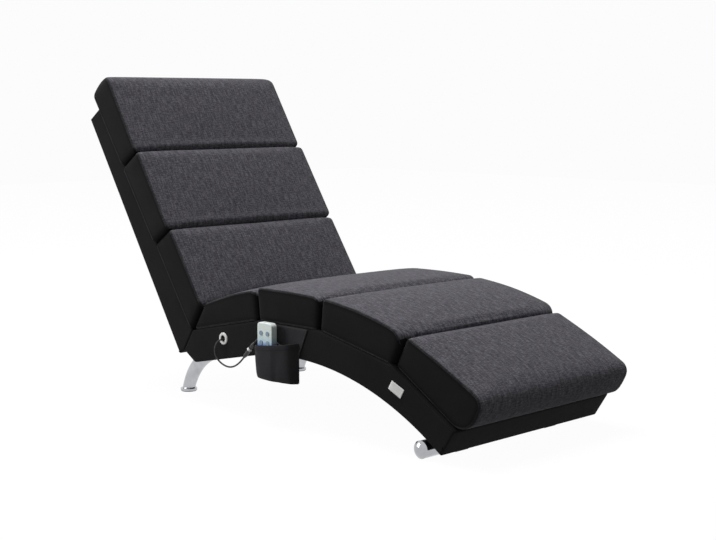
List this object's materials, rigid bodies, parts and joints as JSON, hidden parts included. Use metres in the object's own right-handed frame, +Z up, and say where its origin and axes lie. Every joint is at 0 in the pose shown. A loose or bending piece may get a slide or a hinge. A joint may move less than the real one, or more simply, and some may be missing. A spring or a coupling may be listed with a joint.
{
  "type": "massage lounger",
  "caption": "Padded lounger with reclined back and arched seat on chrome legs, vibration motors under the cushions and a wired hand control in a side pocket.",
  "frame": {"origin": "on the floor under the middle of the lounger's box, side pocket included", "axes": "+Z up, +Y towards the head end, +X towards the sitter's left hand"},
  "size_m": [0.6322, 1.4437, 0.8494],
  "materials": {
    "cushion_fabric": "woven dark grey upholstery",
    "cover_fabric": "plain black upholstery",
    "plywood": "raw wood",
    "strap": "elastic webbing",
    "chrome": "polished chrome",
    "steel": "zinc plated",
    "glide_plastic": "black plastic",
    "case_plastic": "black moulded plastic",
    "grommet": "pale plated ring",
    "cord_rubber": "black rubber lead",
    "connector_plastic": "black plastic with a pale collar",
    "handset_plastic": "pale grey moulded plastic",
    "key_plastic": "dark keys"
  },
  "bodies": {
    "lounger": {"back_bottom_rail": "plywood", "back_cover": "cover_fabric", "back_cushion_bottom": "cushion_fabric", "back_cushion_middle": "cushion_fabric", "back_cushion_top": "cushion_fabric", "back_lumbar_rail": "plywood", "back_middle_rail": "plywood", "back_side_panel_left": "plywood", "back_side_panel_right": "plywood", "back_straps": "strap", "back_top_rail": "plywood", "cable_grommet": "grommet", "calf_cushion": "cushion_fabric", "calf_motor_case": "case_plastic", "control_box": "case_plastic", "control_box_lid": "case_plastic", "frame_screws": "steel", "front_tube": "chrome", "front_tube_caps": "chrome", "front_tube_glides": "glide_plastic", "front_tube_saddles": "steel", "handset_lead": "cord_rubber", "handset_plug": "connector_plastic", "joining_bolts": "steel", "joining_nuts": "steel", "knee_cushion": "cushion_fabric", "lead_tie": "cord_rubber", "lower_back_motor_case": "case_plastic", "motor_screws": "steel", "rear_foot_glides": "glide_plastic", "rear_leg_left": "chrome", "rear_leg_right": "chrome", "seat_calf_rail": "plywood", "seat_cover": "cover_fabric", "seat_cushion": "cushion_fabric", "seat_front_rail": "plywood", "seat_leg_rail": "plywood", "seat_middle_rail": "plywood", "seat_rear_rail": "plywood", "seat_side_panel_left": "plywood", "seat_side_panel_right": "plywood", "seat_straps": "strap", "side_pocket": "cover_fabric", "tail_lead": "cord_rubber", "tail_socket": "connector_plastic", "thigh_cushion": "cushion_fabric", "thigh_motor_case": "case_plastic", "upper_back_motor_case": "case_plastic", "wiring_loom": "cord_rubber"},
    "upper_back_rotor": {"upper_back_motor_rotor": "steel"},
    "lower_back_rotor": {"lower_back_motor_rotor": "steel"},
    "thigh_rotor": {"thigh_motor_rotor": "steel"},
    "calf_rotor": {"calf_motor_rotor": "steel"},
    "hand_control": {"handset_front_shell": "handset_plastic", "handset_back_shell": "handset_plastic"},
    "power_key": {"power_key": "key_plastic"},
    "zone_key": {"zone_key": "key_plastic"},
    "mode_key": {"mode_key": "key_plastic"},
    "strength_key": {"strength_key": "key_plastic"}
  },
  "joints": [
    {"name": "upper_back_spin", "type": "hinge", "parent": "lounger", "child": "upper_back_rotor", "pos_m": [0.01422, 0.54618, 0.563], "axis": [1, 0, 0], "continuous": true},
    {"name": "lower_back_spin", "type": "hinge", "parent": "lounger", "child": "lower_back_rotor", "pos_m": [0.01422, 0.37909, 0.31988], "axis": [1, 0, 0], "continuous": true},
    {"name": "thigh_spin", "type": "hinge", "parent": "lounger", "child": "thigh_rotor", "pos_m": [0.01422, -0.11643, 0.22913], "axis": [1, 0, 0], "continuous": true},
    {"name": "calf_spin", "type": "hinge", "parent": "lounger", "child": "calf_rotor", "pos_m": [0.01422, -0.48914, 0.15884], "axis": [1, 0, 0], "continuous": true},
    {"name": "hand_control_lift", "type": "slide", "parent": "lounger", "child": "hand_control", "axis": [0, 0, 1], "range_m": [0, 0.12]},
    {"name": "power_key_press", "type": "slide", "parent": "hand_control", "child": "power_key", "axis": [1, 0, 0], "range_m": [0, 0.001], "stiffness_N_per_m": 400},
    {"name": "zone_key_press", "type": "slide", "parent": "hand_control", "child": "zone_key", "axis": [1, 0, 0], "range_m": [0, 0.001], "stiffness_N_per_m": 400},
    {"name": "mode_key_press", "type": "slide", "parent": "hand_control", "child": "mode_key", "axis": [1, 0, 0], "range_m": [0, 0.001], "stiffness_N_per_m": 400},
    {"name": "strength_key_press", "type": "slide", "parent": "hand_control", "child": "strength_key", "axis": [1, 0, 0], "range_m": [0, 0.001], "stiffness_N_per_m": 400}
  ]
}
